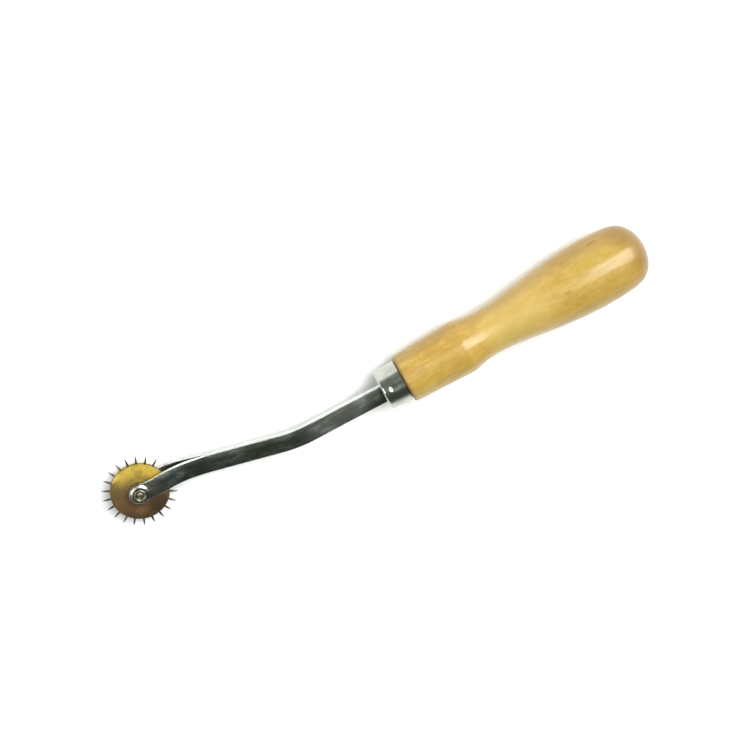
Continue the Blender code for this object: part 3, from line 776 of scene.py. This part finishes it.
disc_sec = [(3.1, 1.14), (3.12, 1.16)]
for k in range(1, 27):
    r = 3.12 + (R - 0.22 - 3.12) * k / 26
    disc_sec.append((r, disc_out(r)))
top = disc_out(R - 0.22)
for k in range(1, 7):
    t = math.radians(90 - 15 * k)
    disc_sec.append((R - 0.22 + 0.22 * math.cos(t), top - 0.2 + 0.2 * math.sin(t)))
disc_sec += [(R, 0.46), (R - 0.02, 0.42), (R - 0.08, 0.40)]
for k in range(1, 9):
    t = k / 8
    disc_sec.append((R - 0.08 - (R - 0.08 - 7.6) * t, 0.40 + 0.18 * smoothstep(t)))
disc_sec.append((3.1, 0.58))
for node, sgn in (("front_disc", 1), ("rear_disc", -1)):
    sec = disc_sec if sgn > 0 else [(r, -z) for r, z in reversed(disc_sec)]
    ob = link(node + "_fine", turned(node + "_fine", sec, 176, 'Z', True), AXLE)
    finish_piece(ob, [node], "wheel", BRASS.mat)

# ---- needles
shaft = [(0.0, 12.7), (0.035, 12.69), (0.07, 12.63)]
for k in range(1, 15):
    t = k / 14
    shaft.append((0.07 + (0.37 - 0.07) * (1 - (1 - t) ** 1.9), 12.63 + (9.95 - 12.63) * t))
shaft += [(0.37, 9.0), (0.37, 7.0), (0.37, 5.25), (0.35, 5.17), (0.30, 5.15), (0.0, 5.15)]
needle_mesh = turned("needle_fine", shaft, 20, 'X', False, None, 50.0)
needle_mesh.materials.append(NEEDLE.mat)
for k in range(NEEDLES):
    node = "needle_%02d" % (k + 1)
    turn = Matrix.Rotation(PHASE + k * math.tau / NEEDLES, 4, 'Z')
    ob = link(node + "_fine", needle_mesh, AXLE @ turn)
    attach(ob, "wheel")
    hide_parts(node)

# ================================================================== floor
m = Nodes("studio_floor")
mott = m.noise(m.mapping((9, 9, 9)), 1.0, 3.0, 0.5)
m.set(Base_Color=m.ramp(mott, [(0.3, (0.840, 0.830, 0.810)), (0.7, (0.860, 0.850, 0.830))]), Roughness=0.7)
m.bsdf.inputs["Specular IOR Level"].default_value = 0.2
# the sweep stays pale beyond the reach of the lamps
away = m.vec('LENGTH', m.coord)
m.bsdf.inputs["Emission Color"].default_value = (1.0, 0.99, 0.97, 1.0)
m.set(Emission_Strength=m.span(away, 0.7, 2.6, 0.0, 0.85))
bm = bmesh.new()
bmesh.ops.create_grid(bm, x_segments=8, y_segments=8, size=12.0)
mesh = bpy.data.meshes.new("studio_floor")
bm.to_mesh(mesh)
bm.free()
mesh.materials.append(m.mat)
floor = link("studio_floor", mesh, Matrix.Identity(4))

# ================================================================== light
TOOL_X = Vector((0.999, 0.0, -0.0448)).normalized()
CAM_P = Vector((0.01319585053, -0.17855599085, 0.52004838888))
CAM_R = Vector((-0.8632997412, 0.4690470970, 0.1863018458))
CAM_U = Vector((-0.5040732496, -0.8196118589, -0.2722986593))
CAM_C = Vector((0.0249743065, -0.3289851389, 0.9440048000))


def area(name, direction, dist, size_a, size_b, axis, radiance, colour=(1, 1, 1)):
    """A soft panel whose centre lies at dist along direction from the tool,
    facing it, its long side size_a along axis."""
    d = Vector(direction).normalized()
    a = (Vector(axis) - Vector(axis).dot(d) * d).normalized()
    b = d.cross(a)
    data = bpy.data.lights.new(name, 'AREA')
    data.shape = 'RECTANGLE'
    data.size, data.size_y = size_a, size_b
    data.energy = radiance * math.pi * size_a * size_b
    data.color = colour
    ob = bpy.data.objects.new(name, data)
    bpy.context.scene.collection.objects.link(ob)
    rot = Matrix((a, b, d)).transposed().to_4x4()
    ob.matrix_world = Matrix.Translation(d * dist) @ rot
    return ob


def tilt(along, across):
    """A direction from the tool's own upright, turned towards the butt by
    `along` degrees and towards the upper side of the tool by `across`."""
    return (REST.to_3x3() @ Vector((-math.tan(math.radians(along)), -math.tan(math.radians(across)), 1.0))).normalized()


PALE = (0.955, 0.985, 1.0)
area("key_panel", tilt(33, 16), 1.3, 1.05, 0.86, TOOL_X, 8.6, PALE)
area("key_fade", tilt(5, 16), 1.3, 0.22, 0.80, TOOL_X, 2.6, PALE)
area("key_tail", tilt(68, 15), 1.3, 0.55, 0.60, TOOL_X, 1.8, PALE)
area("wheel_fill", tilt(-33, 18), 1.3, 0.75, 0.70, TOOL_X, 3.2, PALE)

world = bpy.data.worlds.new("studio")
bpy.context.scene.world = world
world.use_nodes = True
wt = world.node_tree
back = wt.nodes["Background"]
co = wt.nodes.new("ShaderNodeTexCoord")
sep = wt.nodes.new("ShaderNodeSeparateXYZ")
wt.links.new(co.outputs["Generated"], sep.inputs[0])


def world_ramp(source, stops):
    ramp = wt.nodes.new("ShaderNodeValToRGB")
    wt.links.new(source, ramp.inputs[0])
    while len(ramp.color_ramp.elements) < len(stops):
        ramp.color_ramp.elements.new(0.5)
    for e, (p, c) in zip(ramp.color_ramp.elements, stops):
        e.position = p
        e.color = (*c, 1.0)
    return ramp.outputs["Color"]


# bright walls round the horizon, dark above
low = world_ramp(sep.outputs["Z"], [(0.0, (1.20, 1.20, 1.20)), (0.14, (1.10, 1.10, 1.10)), (0.34, (0.24, 0.26, 0.24)),
                                    (0.55, (0.105, 0.120, 0.098)), (1.0, (0.105, 0.120, 0.098))])
# the dark part lightens towards the upper side of the tool
across = wt.nodes.new("ShaderNodeMapRange")
across.inputs["From Min"].default_value = -0.30
across.inputs["From Max"].default_value = 0.55
across.inputs["To Min"].default_value = 0.12
across.inputs["To Max"].default_value = 0.0
wt.links.new(sep.outputs["Y"], across.inputs["Value"])
plus = wt.nodes.new("ShaderNodeMix")
plus.data_type = 'RGBA'
plus.blend_type = 'ADD'
plus.inputs[0].default_value = 1.0
wt.links.new(low, plus.inputs[6])
wt.links.new(across.outputs["Result"], plus.inputs[7])
# and is weaker on the lower side
fall = wt.nodes.new("ShaderNodeMapRange")
fall.inputs["From Min"].default_value = -0.30
fall.inputs["From Max"].default_value = 0.50
fall.inputs["To Min"].default_value = 1.0
fall.inputs["To Max"].default_value = 0.62
wt.links.new(sep.outputs["Y"], fall.inputs["Value"])
times = wt.nodes.new("ShaderNodeMix")
times.data_type = 'RGBA'
times.blend_type = 'MULTIPLY'
times.inputs[0].default_value = 1.0
wt.links.new(plus.outputs[2], times.inputs[6])
wt.links.new(fall.outputs["Result"], times.inputs[7])
wt.links.new(times.outputs[2], back.inputs["Color"])
back.inputs["Strength"].default_value = 1.15

# ================================================================== camera
cam = bpy.data.cameras.new("camera")
cam.sensor_width = 36.0
cam.lens = 78.1494
cam.clip_start, cam.clip_end = 0.01, 100.0
camera = bpy.data.objects.new("camera", cam)
bpy.context.scene.collection.objects.link(camera)
camera.matrix_world = Matrix.Translation(CAM_P) @ Matrix((CAM_R, CAM_U, CAM_C)).transposed().to_4x4()
bpy.context.scene.camera = camera

view = bpy.context.scene.view_settings
view.view_transform = 'Standard'
view.look = 'None'
view.exposure = 0.0
view.gamma = 1.0
